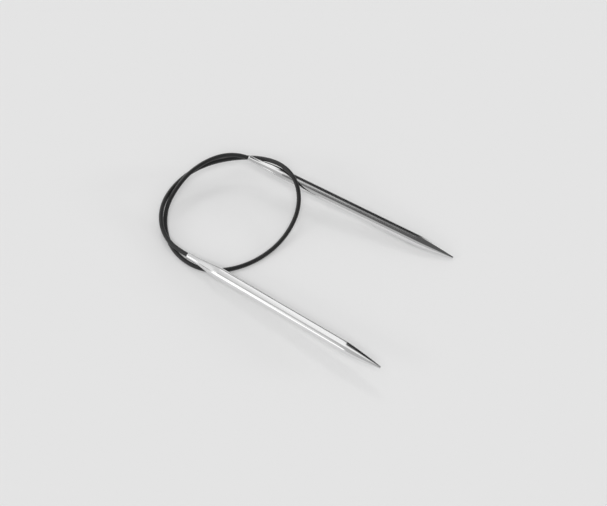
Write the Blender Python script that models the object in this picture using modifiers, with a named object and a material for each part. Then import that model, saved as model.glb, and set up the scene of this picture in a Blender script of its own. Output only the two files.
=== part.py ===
"""Circular knitting needle: two hollow metal needles joined by one springy nylon cable.

The object lies on a table at z = 0, with its points towards +X. The near needle (-Y) and the
far needle (+Y) are alike. The cable leaves the near needle, runs almost one and a half turns
and goes into the far needle. Inside each needle a crimped stop holds the end of the cable
behind the needle's narrow neck, where it can still turn.
"""
from math import cos, pi, radians, sin

import bmesh
import bpy
import numpy as np
from mathutils import Vector

MM = 0.001

# Needles
NEEDLE_RADIUS = 3.5 * MM
NEEDLE_LENGTH = 132 * MM
WALL = 0.5 * MM
POINT_FLAT_RADIUS = 0.45 * MM
POINT_ROUND = 0.3 * MM
POINT_LENGTH = 23 * MM
SOLID_POINT_LENGTH = 27 * MM
DRILL_CONE_LENGTH = 2.5 * MM
TAIL_LENGTH = 23 * MM
LIP_ROUND = 0.15 * MM
PROFILE_STEPS = 12
TURN_STEPS = 32

# Cable
CABLE_RADIUS = 1.2 * MM
CABLE_POINT_SPACING = 5.6 * MM
CLEARANCE = 0.3 * MM
NECK_BORE_RADIUS = CABLE_RADIUS + CLEARANCE
NECK_RADIUS = NECK_BORE_RADIUS + 0.3 * MM

# Stops crimped on the cable's ends, measured from the needle's mouth
STOP_RADIUS = 2.4 * MM
STOP_NOSE_RADIUS = 1.9 * MM
STOP_START = 16.5 * MM
STOP_SHOULDER = 18.2 * MM
STOP_END = 25 * MM
STOP_CHAMFER = 0.3 * MM
CABLE_END = 22.7 * MM

# Where each needle's mouth is, and how the needle is turned and tilted from +X
NEAR_MOUTH = Vector((-63.4, -37.45, 4.8)) * MM
NEAR_YAW = radians(-2.8)
NEAR_RISE = radians(3.35)
FAR_MOUTH = Vector((-68.05, 31.35, 15.6)) * MM
FAR_YAW = radians(6.0)
FAR_RISE = radians(-6.24)

# The middle of the cable's loop, which the near needle swings about as the cable flexes
LOOP_CENTRE = Vector((-60.0, -2.0, 0)) * MM

# The cable's route from the near mouth to the far mouth, in millimetres
CABLE_ROUTE = [
    (-76.85, -35.55, 4.05), (-87.75, -29.0, 5.2), (-94, -18.9, 7.8), (-95.65, -7, 9.2),
    (-93.3, 4.9, 10.9), (-87.7, 15.8, 12.1), (-80, 25.4, 12.2), (-70.1, 33, 12.75),
    (-58.6, 36.5, 15.25), (-46.5, 35.85, 17.85), (-35.3, 31.3, 16.6), (-28.1, 23.1, 10.5),
    (-25.3, 12.2, 5.6), (-25.5, 0.2, 2.8), (-28.3, -11.7, 1.6), (-33.6, -22.8, 1.3),
    (-41.6, -32.2, 1.25), (-52.2, -38.5, 1.25), (-64.4, -39.6, 1.25), (-76.0, -35.95, 1.3),
    (-85.8, -28.15, 2.05), (-91.74, -18.5, 5.6), (-92.88, -7.1, 10.65), (-91.7, 4.8, 13.4),
    (-87.5, 16.3, 15), (-79.9, 25.9, 15.9),
]


def clear_scene():
    for old in list(bpy.data.objects):
        bpy.data.objects.remove(old, do_unlink=True)


def new_collection(name):
    collection = bpy.data.collections.new(name)
    bpy.context.scene.collection.children.link(collection)
    return collection


def make_material(name, colour, roughness, metallic):
    material = bpy.data.materials.new(name)
    material.use_nodes = True
    shader = material.node_tree.nodes["Principled BSDF"]
    shader.inputs["Base Color"].default_value = (*colour, 1)
    shader.inputs["Roughness"].default_value = roughness
    shader.inputs["Metallic"].default_value = metallic
    return material


def needle_direction(yaw, rise):
    """The unit vector from a needle's mouth to its point."""
    return Vector((cos(rise) * cos(yaw), cos(rise) * sin(yaw), sin(rise)))


def needle_rotation(yaw, rise):
    """Turns a piece's own +Z to the needle's direction."""
    return (0, pi / 2 - rise, yaw)


def tail_radius(depth):
    """The needle's outer radius at a depth from the mouth, along the drawn-down tail."""
    t = min(depth / TAIL_LENGTH, 1) ** 1.25
    return NECK_RADIUS + (NEEDLE_RADIUS - NECK_RADIUS) * t * t * (3 - 2 * t)


def point_radius(from_shoulder):
    """The needle's outer radius along the point, from 0 at its shoulder to 1 at its end."""
    end_radius = POINT_FLAT_RADIUS + POINT_ROUND
    return end_radius + (NEEDLE_RADIUS - end_radius) * (1 - from_shoulder ** 1.35)


def needle_profile():
    """The (radius, height) outline: down the outside from the point, in at the mouth, up the bore."""
    outline = [(0, NEEDLE_LENGTH)]
    for step in range(4):
        angle = pi / 2 * step / 4
        outline.append((
            POINT_FLAT_RADIUS + POINT_ROUND * sin(angle),
            NEEDLE_LENGTH - POINT_ROUND * (1 - cos(angle)),
        ))
    for step in range(PROFILE_STEPS, -1, -1):
        t = step / PROFILE_STEPS
        height = NEEDLE_LENGTH - POINT_LENGTH + (POINT_LENGTH - POINT_ROUND) * t
        outline.append((point_radius(t), height))
    for step in range(PROFILE_STEPS, 0, -1):
        depth = TAIL_LENGTH * step / PROFILE_STEPS
        outline.append((tail_radius(depth), depth))
    outline += [
        (NECK_RADIUS, LIP_ROUND),
        (NECK_RADIUS - LIP_ROUND, 0),
        (NECK_BORE_RADIUS, 0),
    ]
    for step in range(1, PROFILE_STEPS + 1):
        depth = TAIL_LENGTH * step / PROFILE_STEPS
        outline.append((max(NECK_BORE_RADIUS, tail_radius(depth) - WALL), depth))
    bore_end = NEEDLE_LENGTH - SOLID_POINT_LENGTH
    outline += [(NEEDLE_RADIUS - WALL, bore_end - DRILL_CONE_LENGTH), (0, bore_end)]
    return outline


def stop_profile():
    """The (radius, height) outline of a crimped stop, with its blind bore for the cable's end."""
    return [
        (0, STOP_END),
        (STOP_RADIUS - STOP_CHAMFER, STOP_END),
        (STOP_RADIUS, STOP_END - STOP_CHAMFER),
        (STOP_RADIUS, STOP_SHOULDER),
        (STOP_NOSE_RADIUS, STOP_START),
        (NECK_BORE_RADIUS, STOP_START),
        (NECK_BORE_RADIUS, CABLE_END + CLEARANCE),
        (0, CABLE_END + CLEARANCE),
    ]


def turned_mesh(name, outline):
    """An open outline of (radius, height) pairs at +X, ready to be turned about Z."""
    mesh = bpy.data.meshes.new(name)
    bm = bmesh.new()
    verts = [bm.verts.new((radius, 0, height)) for radius, height in outline]
    for a, b in zip(verts, verts[1:]):
        bm.edges.new((a, b))
    bm.to_mesh(mesh)
    bm.free()
    return mesh


def turned_piece(name, mesh, material, collection):
    """An object that turns an outline about its own Z with a Screw modifier."""
    piece = bpy.data.objects.new(name, mesh)
    collection.objects.link(piece)
    if not mesh.materials:
        mesh.materials.append(material)
    screw = piece.modifiers.new("turn", "SCREW")
    screw.steps = screw.render_steps = TURN_STEPS
    screw.use_merge_vertices = True
    screw.merge_threshold = 0.01 * MM
    screw.use_smooth_shade = True
    return piece


def smooth_curve(points, spacing):
    """Evenly spaced points on the natural cubic spline through the given points."""
    points = np.array(points)
    chords = np.linalg.norm(np.diff(points, axis=0), axis=1)
    knots = np.concatenate([[0], np.cumsum(chords)])
    count = len(points)
    system = np.eye(count)
    bends = np.zeros_like(points)
    for i in range(1, count - 1):
        before, after = chords[i - 1], chords[i]
        system[i, i - 1:i + 2] = before, 2 * (before + after), after
        bends[i] = 6 * ((points[i + 1] - points[i]) / after - (points[i] - points[i - 1]) / before)
    bends = np.linalg.solve(system, bends)

    def at(s):
        i = min(np.searchsorted(knots, s, side="right") - 1, count - 2)
        h, a, b = chords[i], knots[i + 1] - s, s - knots[i]
        curved = (bends[i] * a ** 3 + bends[i + 1] * b ** 3) / (6 * h)
        straight = (points[i] / h - bends[i] * h / 6) * a + (points[i + 1] / h - bends[i + 1] * h / 6) * b
        return curved + straight

    fine = np.array([at(s) for s in np.linspace(0, knots[-1], 40 * count)])
    run = np.concatenate([[0], np.cumsum(np.linalg.norm(np.diff(fine, axis=0), axis=1))])
    wanted = np.linspace(0, run[-1], round(run[-1] / spacing) + 1)
    return np.stack([np.interp(wanted, run, fine[:, axis]) for axis in range(3)], axis=1)


def cable_points():
    """The cable's centre line, from its end in the near stop to its end in the far stop."""
    near, far = needle_direction(NEAR_YAW, NEAR_RISE), needle_direction(FAR_YAW, FAR_RISE)
    depths = [CABLE_END, CABLE_END / 2, CABLE_END / 4, 0]
    inside_near = [NEAR_MOUTH + near * depth for depth in depths]
    inside_far = [FAR_MOUTH + far * depth for depth in reversed(depths)]
    between = [Vector(point) * MM for point in CABLE_ROUTE]
    return smooth_curve([*inside_near, *between, *inside_far], CABLE_POINT_SPACING)


def make_cable(material, collection):
    curve = bpy.data.curves.new("cable", "CURVE")
    curve.dimensions = "3D"
    curve.bevel_depth = CABLE_RADIUS
    curve.bevel_resolution = 2
    curve.use_fill_caps = True
    points = cable_points()
    spline = curve.splines.new("POLY")
    spline.points.add(len(points) - 1)
    for target, (x, y, z) in zip(spline.points, points):
        target.co = (x, y, z, 1)
    spline.use_smooth = True
    curve.materials.append(material)
    cable = bpy.data.objects.new("cable", curve)
    collection.objects.link(cable)
    return cable


def make_axis(name, location, collection):
    axis = bpy.data.objects.new(name, None)
    axis.location = location
    axis.empty_display_size = 10 * MM
    collection.objects.link(axis)
    return axis


def main():
    clear_scene()
    parts = new_collection("circular_knitting_needle")
    polished = make_material("polished_metal", (0.80, 0.80, 0.80), 0.08, 1.0)
    crimp = make_material("crimped_brass", (0.72, 0.58, 0.32), 0.35, 1.0)
    nylon = make_material("charcoal_nylon", (0.035, 0.035, 0.038), 0.38, 0.0)

    make_cable(nylon, parts)
    flex_axis = make_axis("cable_flex_axis", LOOP_CENTRE, parts)
    needle_mesh = turned_mesh("needle", needle_profile())
    stop_mesh = turned_mesh("cord_stop", stop_profile())
    placings = [
        ("near", NEAR_MOUTH, NEAR_YAW, NEAR_RISE),
        ("far", FAR_MOUTH, FAR_YAW, FAR_RISE),
    ]
    for side, mouth, yaw, rise in placings:
        needle = turned_piece(f"{side}_needle", needle_mesh, polished, parts)
        stop = turned_piece(f"{side}_cord_stop", stop_mesh, crimp, parts)
        for piece in (needle, stop):
            piece.location = mouth
            piece.rotation_euler = needle_rotation(yaw, rise)
            if side == "near":
                piece.parent = flex_axis
                piece.location = mouth - LOOP_CENTRE


main()
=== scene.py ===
"""Looks of the circular knitting needle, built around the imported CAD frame.

Finer turned needles, a finer cable and crimped stops replace the CAD solids in the same places.
All lengths are in metres, in the CAD frame: the table is z = 0 and the points are towards +X.
"""
from math import cos, pi, radians, sin

import bpy
import numpy as np
from mathutils import Matrix, Vector


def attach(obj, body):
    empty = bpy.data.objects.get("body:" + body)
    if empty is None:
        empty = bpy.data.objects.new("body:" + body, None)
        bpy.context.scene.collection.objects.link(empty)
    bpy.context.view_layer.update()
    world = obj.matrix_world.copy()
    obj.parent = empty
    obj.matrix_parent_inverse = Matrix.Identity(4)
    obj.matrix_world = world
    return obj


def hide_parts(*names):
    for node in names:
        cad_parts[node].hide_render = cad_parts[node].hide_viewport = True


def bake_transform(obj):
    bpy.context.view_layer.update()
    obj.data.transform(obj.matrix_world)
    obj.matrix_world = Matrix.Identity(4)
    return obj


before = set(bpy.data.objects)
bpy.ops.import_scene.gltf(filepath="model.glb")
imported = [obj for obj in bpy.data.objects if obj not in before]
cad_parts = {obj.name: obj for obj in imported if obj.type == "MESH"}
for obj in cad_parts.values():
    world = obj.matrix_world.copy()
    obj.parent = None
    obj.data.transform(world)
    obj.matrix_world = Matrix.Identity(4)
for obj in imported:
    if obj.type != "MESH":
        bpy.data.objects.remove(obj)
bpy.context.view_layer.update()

MM = 0.001

# Camera
CAMERA_AIM = Vector((-11.1, 2.1, 0)) * MM
CAMERA_DISTANCE = 0.969
CAMERA_AZIMUTH = radians(33)
CAMERA_ELEVATION = radians(57)
CAMERA_LENS = 100.74
CAMERA_SENSOR_WIDTH = 36

# Studio: what the camera sees behind everything, and what lights the floor evenly
BACKDROP_BRIGHTNESS = 0.78
AMBIENT_BRIGHTNESS = 0.56
FLOOR_HALF_WIDTH = 3.0

# Needles, as in part.py
NEEDLE_RADIUS = 3.5 * MM
NEEDLE_LENGTH = 132 * MM
WALL = 0.5 * MM
POINT_FLAT_RADIUS = 0.45 * MM
POINT_ROUND = 0.3 * MM
POINT_LENGTH = 23 * MM
SOLID_POINT_LENGTH = 27 * MM
DRILL_CONE_LENGTH = 2.5 * MM
TAIL_LENGTH = 23 * MM
LIP_ROUND = 0.15 * MM
NECK_BORE_RADIUS = 1.5 * MM
NECK_RADIUS = 1.8 * MM
NEAR_MOUTH, NEAR_YAW, NEAR_RISE = Vector((-63.4, -37.45, 4.8)) * MM, radians(-2.8), radians(3.35)
FAR_MOUTH, FAR_YAW, FAR_RISE = Vector((-68.05, 31.35, 15.6)) * MM, radians(6.0), radians(-6.24)
NEEDLE_SIDES = 96

# Stops crimped on the cable's ends, measured from the needle's mouth
STOP_RADIUS = 2.4 * MM
STOP_NOSE_RADIUS = 1.9 * MM
STOP_START = 16.5 * MM
STOP_SHOULDER = 18.2 * MM
STOP_END = 25 * MM
STOP_CHAMFER = 0.3 * MM
STOP_SIDES = 48
CRIMPS = (20.1 * MM, 22.0 * MM)
CRIMP_HALF_LENGTH = 0.65 * MM
CRIMP_DEPTH = 0.26 * MM

# Cable, slightly thicker than the CAD cable, with part.py's route in millimetres
CABLE_RADIUS = 1.24 * MM
CABLE_END = 22.7 * MM
CABLE_END_GAP = 0.3 * MM
CABLE_SPACING = 1.0 * MM
CABLE_SIDES = 28
CABLE_ROUTE = [
    (-76.85, -35.55, 4.05), (-87.75, -29.0, 5.2), (-94, -18.9, 7.8), (-95.65, -7, 9.2),
    (-93.3, 4.9, 10.9), (-87.7, 15.8, 12.1), (-80, 25.4, 12.2), (-70.1, 33, 12.75),
    (-58.6, 36.5, 15.25), (-46.5, 35.85, 17.85), (-35.3, 31.3, 16.6), (-28.1, 23.1, 10.5),
    (-25.3, 12.2, 5.6), (-25.5, 0.2, 2.8), (-28.3, -11.7, 1.6), (-33.6, -22.8, 1.3),
    (-41.6, -32.2, 1.25), (-52.2, -38.5, 1.25), (-64.4, -39.6, 1.25), (-76.0, -35.95, 1.3),
    (-85.8, -28.15, 2.05), (-91.74, -18.5, 5.6), (-92.88, -7.1, 10.65), (-91.7, 4.8, 13.4),
    (-87.5, 16.3, 15), (-79.9, 25.9, 15.9),
]


# ---------------------------------------------------------------- camera

def make_camera():
    camera = bpy.data.objects.new("camera", bpy.data.cameras.new("camera"))
    bpy.context.scene.collection.objects.link(camera)
    a, e = CAMERA_AZIMUTH, CAMERA_ELEVATION
    back = Vector((sin(a) * cos(e), -cos(a) * cos(e), sin(e)))
    camera.location = CAMERA_AIM + back * CAMERA_DISTANCE
    camera.rotation_mode = "QUATERNION"
    camera.rotation_quaternion = (-back).to_track_quat("-Z", "Y")
    camera.data.lens = CAMERA_LENS
    camera.data.sensor_width = CAMERA_SENSOR_WIDTH
    camera.data.clip_start = 0.01
    camera.data.clip_end = 20
    bpy.context.scene.camera = camera


# ---------------------------------------------------------------- shapes

def needle_direction(yaw, rise):
    """The unit vector from a needle's mouth to its point."""
    return Vector((cos(rise) * cos(yaw), cos(rise) * sin(yaw), sin(rise)))


def needle_matrix(mouth, yaw, rise):
    """Puts a piece turned about its own Z, mouth at its origin, in its needle's place."""
    turn = Matrix.Rotation(yaw, 4, "Z") @ Matrix.Rotation(pi / 2 - rise, 4, "Y")
    return Matrix.Translation(mouth) @ turn


def smooth_curve(points, spacing):
    """Evenly spaced points on the natural cubic spline through the given points."""
    points = np.array(points)
    chords = np.linalg.norm(np.diff(points, axis=0), axis=1)
    knots = np.concatenate([[0], np.cumsum(chords)])
    count = len(points)
    system = np.eye(count)
    bends = np.zeros_like(points)
    for i in range(1, count - 1):
        before, after = chords[i - 1], chords[i]
        system[i, i - 1:i + 2] = before, 2 * (before + after), after
        bends[i] = 6 * ((points[i + 1] - points[i]) / after - (points[i] - points[i - 1]) / before)
    bends = np.linalg.solve(system, bends)

    def at(s):
        i = min(np.searchsorted(knots, s, side="right") - 1, count - 2)
        h, a, b = chords[i], knots[i + 1] - s, s - knots[i]
        curved = (bends[i] * a ** 3 + bends[i + 1] * b ** 3) / (6 * h)
        straight = (points[i] / h - bends[i] * h / 6) * a + (points[i + 1] / h - bends[i + 1] * h / 6) * b
        return curved + straight

    fine = np.array([at(s) for s in np.linspace(0, knots[-1], 40 * count)])
    run = np.concatenate([[0], np.cumsum(np.linalg.norm(np.diff(fine, axis=0), axis=1))])
    wanted = np.linspace(0, run[-1], round(run[-1] / spacing) + 1)
    return np.stack([np.interp(wanted, run, fine[:, axis]) for axis in range(3)], axis=1)


def cable_points():
    """The cable's centre line, from its end in the near stop to its end in the far stop."""
    near, far = needle_direction(NEAR_YAW, NEAR_RISE), needle_direction(FAR_YAW, FAR_RISE)
    depths = [CABLE_END, CABLE_END / 2, CABLE_END / 4, 0]
    inside_near = [NEAR_MOUTH + near * depth for depth in depths]
    inside_far = [FAR_MOUTH + far * depth for depth in reversed(depths)]
    between = [Vector(point) * MM for point in CABLE_ROUTE]
    return smooth_curve([*inside_near, *between, *inside_far], CABLE_SPACING)


def mesh_object(name, verts, faces, uvs=None):
    """A smooth-shaded mesh object, with one UV pair per corner of each face if uvs are given."""
    mesh = bpy.data.meshes.new(name)
    mesh.from_pydata([tuple(v) for v in verts], [], faces)
    mesh.validate()
    mesh.polygons.foreach_set("use_smooth", [True] * len(mesh.polygons))
    if uvs is not None:
        layer = mesh.uv_layers.new(name="UVMap")
        layer.data.foreach_set("uv", np.array(uvs, np.float32).ravel())
    obj = bpy.data.objects.new(name, mesh)
    bpy.context.scene.collection.objects.link(obj)
    return obj


def tube(name, points, radius, sides):
    """A tube along points with rounded ends, turned as little as possible from ring to ring."""
    points = np.array(points)
    tangents = np.gradient(points, axis=0)
    tangents /= np.linalg.norm(tangents, axis=1)[:, None]
    side = np.cross(tangents[0], (0, 0, 1))
    side /= np.linalg.norm(side)
    rings = []
    for point, tangent in zip(points, tangents):
        side = side - tangent * (side @ tangent)
        side /= np.linalg.norm(side)
        rings.append((point, side, np.cross(tangent, side), radius))
    edge = 0.2 * radius
    for at, sign in ((0, -1), (-1, 1)):
        point, a, b, _ = rings[at]
        cap = (point + sign * tangents[at] * edge * 0.7, a, b, radius - edge)
        rings.insert(0 if at == 0 else len(rings), cap)
    angles = np.linspace(0, 2 * pi, sides, endpoint=False)
    verts = [p + r * (a * cos(t) + b * sin(t)) for p, a, b, r in rings for t in angles]
    return mesh_object(name, verts, *grid_faces(len(rings), sides, cap_ends=True))


def grid_faces(rings, sides, cap_ends=False):
    """Quads between rings of points, then the corners' UVs: along, and round."""
    faces, uvs = [], []
    for i in range(rings - 1):
        for j in range(sides):
            k = (j + 1) % sides
            faces.append((i * sides + j, i * sides + k, (i + 1) * sides + k, (i + 1) * sides + j))
            uvs += [(i / rings, j / sides), (i / rings, (j + 1) / sides),
                    ((i + 1) / rings, (j + 1) / sides), ((i + 1) / rings, j / sides)]
    if cap_ends:
        faces.append(tuple(range(sides - 1, -1, -1)))
        faces.append(tuple((rings - 1) * sides + j for j in range(sides)))
        uvs += [(0, j / sides) for j in range(sides - 1, -1, -1)]
        uvs += [(1, j / sides) for j in range(sides)]
    return faces, uvs


def lathe(name, outline, sides, dent=None):
    """Turns an outline of (radius, height) about Z. Its first and last points are on the axis."""
    verts = [(0, 0, outline[0][1])]
    rings = outline[1:-1]
    for radius, height in rings:
        for j in range(sides):
            angle = 2 * pi * j / sides
            r = radius if dent is None else dent(radius, height, angle)
            verts.append((r * cos(angle), r * sin(angle), height))
    verts.append((0, 0, outline[-1][1]))
    faces = []
    last = len(verts) - 1
    for j in range(sides):
        k = (j + 1) % sides
        faces.append((0, 1 + j, 1 + k))
        for i in range(len(rings) - 1):
            a, b = 1 + i * sides, 1 + (i + 1) * sides
            faces.append((a + j, b + j, b + k, a + k))
        a = 1 + (len(rings) - 1) * sides
        faces.append((a + j, last, a + k))
    return mesh_object(name, verts, faces)


def tail_radius(depth):
    """The needle's outer radius at a depth from the mouth, along the drawn-down tail."""
    t = min(depth / TAIL_LENGTH, 1) ** 1.25
    return NECK_RADIUS + (NEEDLE_RADIUS - NECK_RADIUS) * t * t * (3 - 2 * t)


def point_radius(t):
    """The needle's outer radius along the point, from 0 at its shoulder to 1 at its end."""
    end_radius = POINT_FLAT_RADIUS + POINT_ROUND
    return end_radius + (NEEDLE_RADIUS - end_radius) * (1 - t ** 1.35)


def needle_outline():
    """The (radius, height) outline: down the outside from the point, in at the mouth, up the bore."""
    outline = [(0, NEEDLE_LENGTH), (POINT_FLAT_RADIUS * 0.6, NEEDLE_LENGTH)]
    for angle in np.linspace(0, pi / 2, 7)[:-1]:
        outline.append((
            POINT_FLAT_RADIUS + POINT_ROUND * sin(angle),
            NEEDLE_LENGTH - POINT_ROUND * (1 - cos(angle)),
        ))
    for t in np.linspace(1, 0, 47):
        outline.append((point_radius(t), NEEDLE_LENGTH - POINT_LENGTH + (POINT_LENGTH - POINT_ROUND) * t))
    for height in np.linspace(NEEDLE_LENGTH - POINT_LENGTH, TAIL_LENGTH, 30)[1:-1]:
        outline.append((NEEDLE_RADIUS, height))
    for depth in np.linspace(TAIL_LENGTH, LIP_ROUND, 48):
        outline.append((tail_radius(depth), depth))
    for angle in np.linspace(0, pi / 2, 5)[1:]:
        outline.append((NECK_RADIUS - LIP_ROUND * (1 - cos(angle)), LIP_ROUND * (1 - sin(angle))))
    outline += [(NECK_BORE_RADIUS + 0.05 * MM, 0), (NECK_BORE_RADIUS, 0.05 * MM)]
    for depth in np.linspace(0, TAIL_LENGTH, 47)[1:]:
        outline.append((max(NECK_BORE_RADIUS, tail_radius(depth) - WALL), depth))
    bore_end = NEEDLE_LENGTH - SOLID_POINT_LENGTH
    outline += [(NEEDLE_RADIUS - WALL, bore_end - DRILL_CONE_LENGTH), (0, bore_end)]
    return outline


def stop_outline():
    """The (radius, height) outline of a crimped stop, with its blind bore for the cable's end."""
    outline = [
        (0, STOP_END),
        (STOP_RADIUS - STOP_CHAMFER, STOP_END),
        (STOP_RADIUS, STOP_END - STOP_CHAMFER),
    ]
    for height in np.linspace(STOP_END - STOP_CHAMFER, STOP_SHOULDER, 42)[1:]:
        outline.append((STOP_RADIUS, height))
    outline += [(STOP_NOSE_RADIUS, STOP_START), (NECK_BORE_RADIUS, STOP_START)]
    bore_end = CABLE_END + CABLE_END_GAP
    for height in np.linspace(STOP_START, bore_end, 40)[1:]:
        outline.append((NECK_BORE_RADIUS, height))
    outline.append((0, bore_end))
    return outline


def crimp_dent(radius, height, angle):
    """Presses each crimp into a hexagon, and the bore inside it onto the cable."""
    for centre in CRIMPS:
        away = abs(height - centre) / CRIMP_HALF_LENGTH
        if away < 1:
            press = (1 - away ** 4) * (0.55 + 0.45 * cos(6 * angle))
            return radius - CRIMP_DEPTH * press
    return radius


# ---------------------------------------------------------------- materials

def new_material(name):
    material = bpy.data.materials.new(name)
    material.use_nodes = True
    return material, material.node_tree, material.node_tree.nodes["Principled BSDF"]


def node(tree, kind, inputs=(), **settings):
    """A node with its settings, and inputs given as {socket: value or output to link}."""
    made = tree.nodes.new(kind)
    for key, value in settings.items():
        setattr(made, key, value)
    for key, value in dict(inputs).items():
        if isinstance(value, bpy.types.NodeSocket):
            tree.links.new(value, made.inputs[key])
        else:
            made.inputs[key].default_value = value
    return made


def maths(tree, operation, a, b=0.0):
    return node(tree, "ShaderNodeMath", {0: a, 1: b}, operation=operation).outputs[0]


def remap(tree, value, old, new):
    """value from the range old to the range new, held at new's ends."""
    inputs = {0: value, 1: old[0], 2: old[1], 3: new[0], 4: new[1]}
    return node(tree, "ShaderNodeMapRange", inputs, clamp=True).outputs[0]


def mix(tree, factor, a, b):
    """a where factor is 0, b where it is 1."""
    return node(tree, "ShaderNodeMix", {0: factor, 2: a, 3: b}, data_type="FLOAT").outputs[0]


def metal_material():
    material, tree, shader = new_material("polished_metal")
    shader.inputs["Metallic"].default_value = 1.0
    place = node(tree, "ShaderNodeTexCoord").outputs["Object"]
    drawn = node(tree, "ShaderNodeMapping", {"Vector": place, "Scale": (900, 900, 22)}).outputs[0]
    lines = node(tree, "ShaderNodeTexNoise", {"Vector": drawn, "Scale": 1.0, "Detail": 4.0}).outputs[0]
    turned = node(tree, "ShaderNodeMapping", {"Vector": place, "Scale": (120, 120, 5200)}).outputs[0]
    rings = node(tree, "ShaderNodeTexNoise", {"Vector": turned, "Scale": 1.0, "Detail": 2.0}).outputs[0]
    smear = node(tree, "ShaderNodeTexNoise", {"Vector": place, "Scale": 60.0, "Detail": 3.0}).outputs[0]
    rough = maths(tree, "ADD", remap(tree, smear, (0.35, 0.7), (0.09, 0.14)),
                  remap(tree, lines, (0.35, 0.7), (0.0, 0.035)))
    tree.links.new(rough, shader.inputs["Roughness"])
    tint = node(tree, "ShaderNodeMix", {0: remap(tree, smear, (0.3, 0.75), (0, 1)),
                                        6: (0.80, 0.80, 0.805, 1), 7: (0.85, 0.85, 0.845, 1)},
                data_type="RGBA")
    tree.links.new(tint.outputs[2], shader.inputs["Base Color"])
    relief = maths(tree, "ADD", maths(tree, "MULTIPLY", lines, 0.6), maths(tree, "MULTIPLY", rings, 0.4))
    bump = node(tree, "ShaderNodeBump", {"Height": relief, "Strength": 0.12, "Distance": 0.00002})
    tree.links.new(bump.outputs[0], shader.inputs["Normal"])
    return material


def cable_material():
    material, tree, shader = new_material("charcoal_nylon")
    place = node(tree, "ShaderNodeTexCoord").outputs["Object"]
    cloud = node(tree, "ShaderNodeTexNoise", {"Vector": place, "Scale": 140.0, "Detail": 4.0}).outputs[0]
    grain = node(tree, "ShaderNodeTexNoise", {"Vector": place, "Scale": 2600.0, "Detail": 2.0}).outputs[0]
    tint = node(tree, "ShaderNodeMix", {0: remap(tree, cloud, (0.3, 0.7), (0, 1)),
                                        6: (0.012, 0.012, 0.0122, 1), 7: (0.018, 0.018, 0.0182, 1)},
                data_type="RGBA")
    tree.links.new(tint.outputs[2], shader.inputs["Base Color"])
    rough = maths(tree, "ADD", remap(tree, cloud, (0.3, 0.7), (0.34, 0.42)),
                  remap(tree, grain, (0.3, 0.7), (0.0, 0.06)))
    tree.links.new(rough, shader.inputs["Roughness"])
    bump = node(tree, "ShaderNodeBump", {"Height": grain, "Strength": 0.25, "Distance": 0.00003})
    tree.links.new(bump.outputs[0], shader.inputs["Normal"])
    return material


def crimp_material():
    material, tree, shader = new_material("crimped_brass")
    shader.inputs["Metallic"].default_value = 1.0
    place = node(tree, "ShaderNodeTexCoord").outputs["Object"]
    cloud = node(tree, "ShaderNodeTexNoise", {"Vector": place, "Scale": 900.0, "Detail": 4.0}).outputs[0]
    turned = node(tree, "ShaderNodeMapping", {"Vector": place, "Scale": (200, 200, 9000)}).outputs[0]
    rings = node(tree, "ShaderNodeTexNoise", {"Vector": turned, "Scale": 1.0, "Detail": 2.0}).outputs[0]
    tint = node(tree, "ShaderNodeMix", {0: remap(tree, cloud, (0.35, 0.65), (0, 1)),
                                        6: (0.66, 0.50, 0.26, 1), 7: (0.76, 0.63, 0.36, 1)},
                data_type="RGBA")
    tree.links.new(tint.outputs[2], shader.inputs["Base Color"])
    tree.links.new(remap(tree, rings, (0.3, 0.7), (0.26, 0.42)), shader.inputs["Roughness"])
    bump = node(tree, "ShaderNodeBump", {"Height": rings, "Strength": 0.3, "Distance": 0.00002})
    tree.links.new(bump.outputs[0], shader.inputs["Normal"])
    return material


def floor_material():
    material, tree, shader = new_material("pale_floor")
    shader.inputs["Base Color"].default_value = (0.80, 0.80, 0.80, 1)
    shader.inputs["Roughness"].default_value = 1.0
    shader.inputs["Specular IOR Level"].default_value = 0.0
    return material


# ---------------------------------------------------------------- studio

def make_floor():
    half = FLOOR_HALF_WIDTH
    verts = [(-half, -half, 0), (half, -half, 0), (half, half, 0), (-half, half, 0)]
    floor = mesh_object("floor", verts, [(0, 1, 2, 3)])
    floor.data.materials.append(floor_material())


def make_sun(name, azimuth, elevation, strength, spread):
    """A soft distant light that stands at an azimuth from +X towards +Y and an elevation."""
    data = bpy.data.lights.new(name, "SUN")
    data.energy = strength
    data.angle = radians(spread)
    light = bpy.data.objects.new(name, data)
    bpy.context.scene.collection.objects.link(light)
    a, e = radians(azimuth), radians(elevation)
    towards = Vector((cos(a) * cos(e), sin(a) * cos(e), sin(e)))
    light.rotation_mode = "QUATERNION"
    light.rotation_quaternion = towards.to_track_quat("Z", "Y")
    light.visible_glossy = False


# What the metal reflects: plain cards round the object, a later one in front of an earlier one.
# Each has its sides in x of the direction, its sides in lean, which is degrees from straight up
# towards +Y, and its brightness.
STUDIO_BRIGHTNESS = 0.5
STUDIO_CARDS = {
    "left_wall": (-1.2, -0.5, -60, 70, 0.9),
    "left_panel": (-1.2, -0.8, 25, 120, 2.5),
    "top_panel": (-0.5, -0.28, -20, 72, 1.1),
    "top_panel_shade": (-0.6, -0.42, -20, 72, 0.7),
    "front_strip": (-0.55, -0.28, -120, -72, 1.5),
    "front_panel": (-0.6, -0.42, -120, -45, 1.5),
    "middle_panel": (-0.28, -0.06, -20, 10, 1.0),
    "back_flag": (-0.5, -0.28, 76, 120, 0.03),
    "middle_flag": (-0.28, -0.05, 20, 120, 0.03),
    "right_flag": (-0.05, 1.2, -50, 62, 0.1),
    "right_panel": (-0.05, 1.2, 68, 120, 1.3),
}
CARD_EDGE_X = 0.02
CARD_EDGE_LEAN = 5


def between(tree, value, low, high, edge):
    """1 between two limits and 0 outside them, with soft edges."""
    above = remap(tree, value, (low - edge, low + edge), (0, 1))
    below = remap(tree, value, (high - edge, high + edge), (1, 0))
    return maths(tree, "MULTIPLY", above, below)


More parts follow.
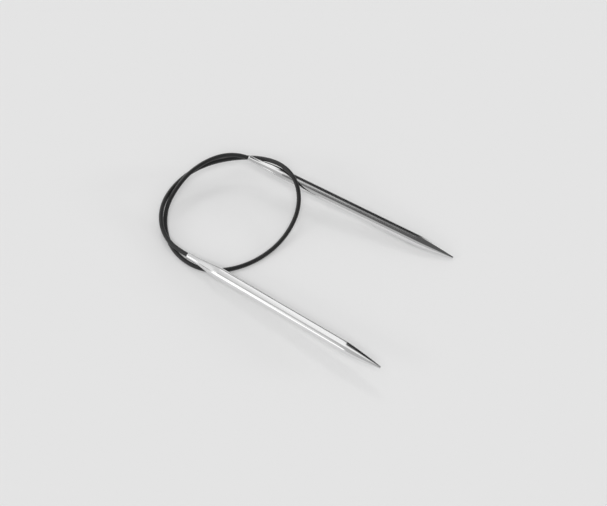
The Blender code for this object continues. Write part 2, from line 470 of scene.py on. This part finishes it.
def studio_brightness(tree, x, lean):
    """How bright the cards are in a direction."""
    studio = STUDIO_BRIGHTNESS
    for left, right, front, back, brightness in STUDIO_CARDS.values():
        cover = maths(tree, "MULTIPLY", between(tree, x, left, right, CARD_EDGE_X),
                      between(tree, lean, front, back, CARD_EDGE_LEAN))
        studio = mix(tree, cover, studio, brightness)
    return studio


def make_world():
    """A plain pale surrounding, and the studio for what reflects it."""
    world = bpy.data.worlds.new("studio")
    bpy.context.scene.world = world
    world.use_nodes = True
    tree = world.node_tree
    tree.nodes.clear()
    direction = node(tree, "ShaderNodeTexCoord").outputs["Generated"]
    x, y, z = node(tree, "ShaderNodeSeparateXYZ", {0: direction}).outputs
    lean = maths(tree, "MULTIPLY", maths(tree, "ARCTAN2", y, z), 180 / pi)
    studio = studio_brightness(tree, x, lean)
    rays = node(tree, "ShaderNodeLightPath").outputs
    plain = remap(tree, rays["Is Diffuse Ray"], (0, 1), (BACKDROP_BRIGHTNESS, AMBIENT_BRIGHTNESS))
    strength = mix(tree, rays["Is Glossy Ray"], plain, studio)
    background = node(tree, "ShaderNodeBackground", {"Strength": strength})
    background.inputs["Color"].default_value = (1, 1, 1, 1)
    output = node(tree, "ShaderNodeOutputWorld")
    tree.links.new(background.outputs[0], output.inputs[0])


def make_lights():
    make_sun("back_light", 128.6, 47, 0.20, 12)
    make_sun("right_light", 33, 13.8, 0.40, 12)
    make_sun("front_left_light", 230.5, 23, 0.22, 14)
    make_sun("camera_side_light", 303, 57, 1.12, 30)


# ---------------------------------------------------------------- pieces

make_camera()
bpy.context.scene.view_settings.view_transform = "Standard"

cable_path = cable_points()
cable = tube("knit_cable", cable_path, CABLE_RADIUS, CABLE_SIDES)
cable.data.materials.append(cable_material())
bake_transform(cable)
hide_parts("cable")

needle_metal, crimp_metal = metal_material(), crimp_material()
PLACINGS = [
    ("near", NEAR_MOUTH, NEAR_YAW, NEAR_RISE, "near_needle", "near_end"),
    ("far", FAR_MOUTH, FAR_YAW, FAR_RISE, "far_needle", "cable"),
]
for side, mouth, yaw, rise, needle_body, stop_body in PLACINGS:
    needle = lathe(f"{side}_polished_needle", needle_outline(), NEEDLE_SIDES)
    stop = lathe(f"{side}_crimped_stop", stop_outline(), STOP_SIDES, crimp_dent)
    for piece, metal, body, slot, stood_for in (
        (needle, needle_metal, needle_body, "needle_metal", f"{side}_needle"),
        (stop, crimp_metal, stop_body, "crimp_metal", f"{side}_cord_stop"),
    ):
        piece.matrix_world = needle_matrix(mouth, yaw, rise)
        piece.data.materials.append(metal)
        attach(piece, body)
        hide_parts(stood_for)

make_floor()
make_world()
make_lights()
